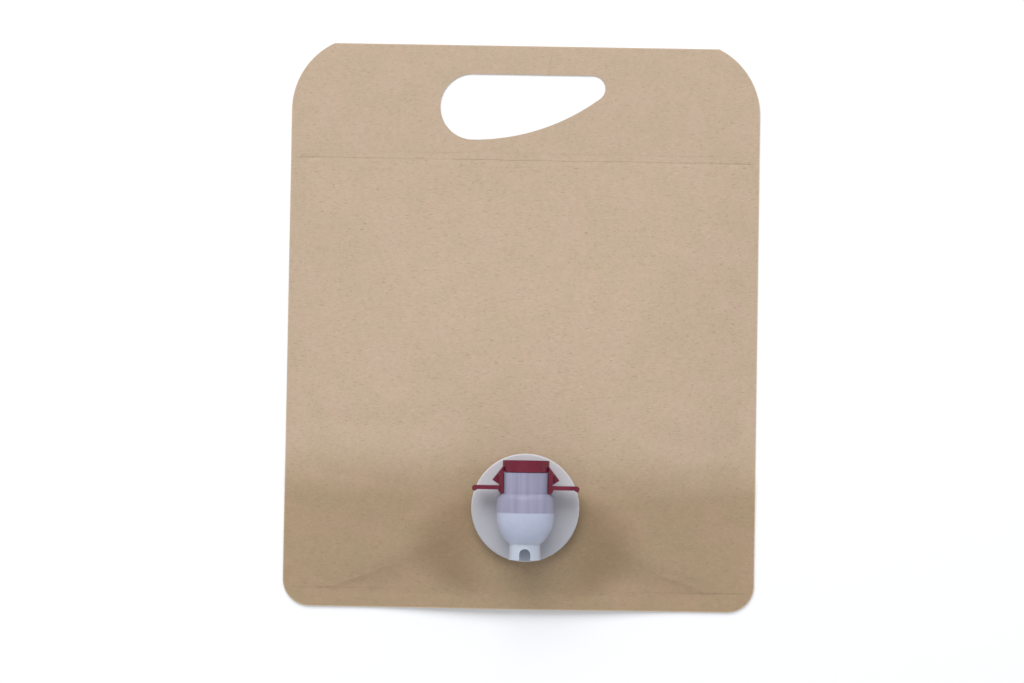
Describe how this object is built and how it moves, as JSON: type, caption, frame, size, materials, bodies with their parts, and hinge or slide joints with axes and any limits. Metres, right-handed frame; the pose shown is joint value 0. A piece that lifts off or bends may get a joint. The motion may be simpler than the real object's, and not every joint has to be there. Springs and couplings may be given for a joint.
{
  "type": "kraft stand-up pouch",
  "caption": "Flat, empty kraft paper drink pouch with a rounded head, a teardrop carry hole, a bottom gusset and a press-button dispensing tap.",
  "frame": {"origin": "middle of the pouch's outline, on the outer face of the back panel, which is the surface it lies on", "axes": "+X across the pouch, +Y towards the carry hole, +Z out of the front panel, the way the tap points"},
  "size_m": [0.22, 0.264, 0.0417],
  "materials": {
    "kraft_laminate": "uncoated kraft paper over a plastic film",
    "white_polyethylene": "natural white moulding",
    "milky_polypropylene": "milky, slightly translucent moulding",
    "wine_red_plastic": "satin moulding",
    "red_elastomer": "smooth",
    "red_button_plastic": "satin moulding",
    "stem_plastic": "natural white moulding",
    "red_plug_elastomer": "smooth"
  },
  "bodies": {
    "pouch": {"pouch": "kraft_laminate", "gland": "white_polyethylene"},
    "tap": {"tap_body": "milky_polypropylene", "grip_ring": "wine_red_plastic", "diaphragm": "red_elastomer"},
    "button": {"push_button": "red_button_plastic", "valve_stem": "stem_plastic", "valve_plug": "red_plug_elastomer"}
  },
  "joints": [
    {"name": "tap_swivel", "type": "hinge", "parent": "pouch", "child": "tap", "pos_m": [0.0026, -0.0844, 0.015], "axis": [0, 0, 1], "continuous": true},
    {"name": "button_press", "type": "slide", "parent": "tap", "child": "button", "axis": [0, -1, 0], "range_m": [0, 0.0045], "stiffness_N_per_m": 3000, "deforming": ["diaphragm"]}
  ]
}
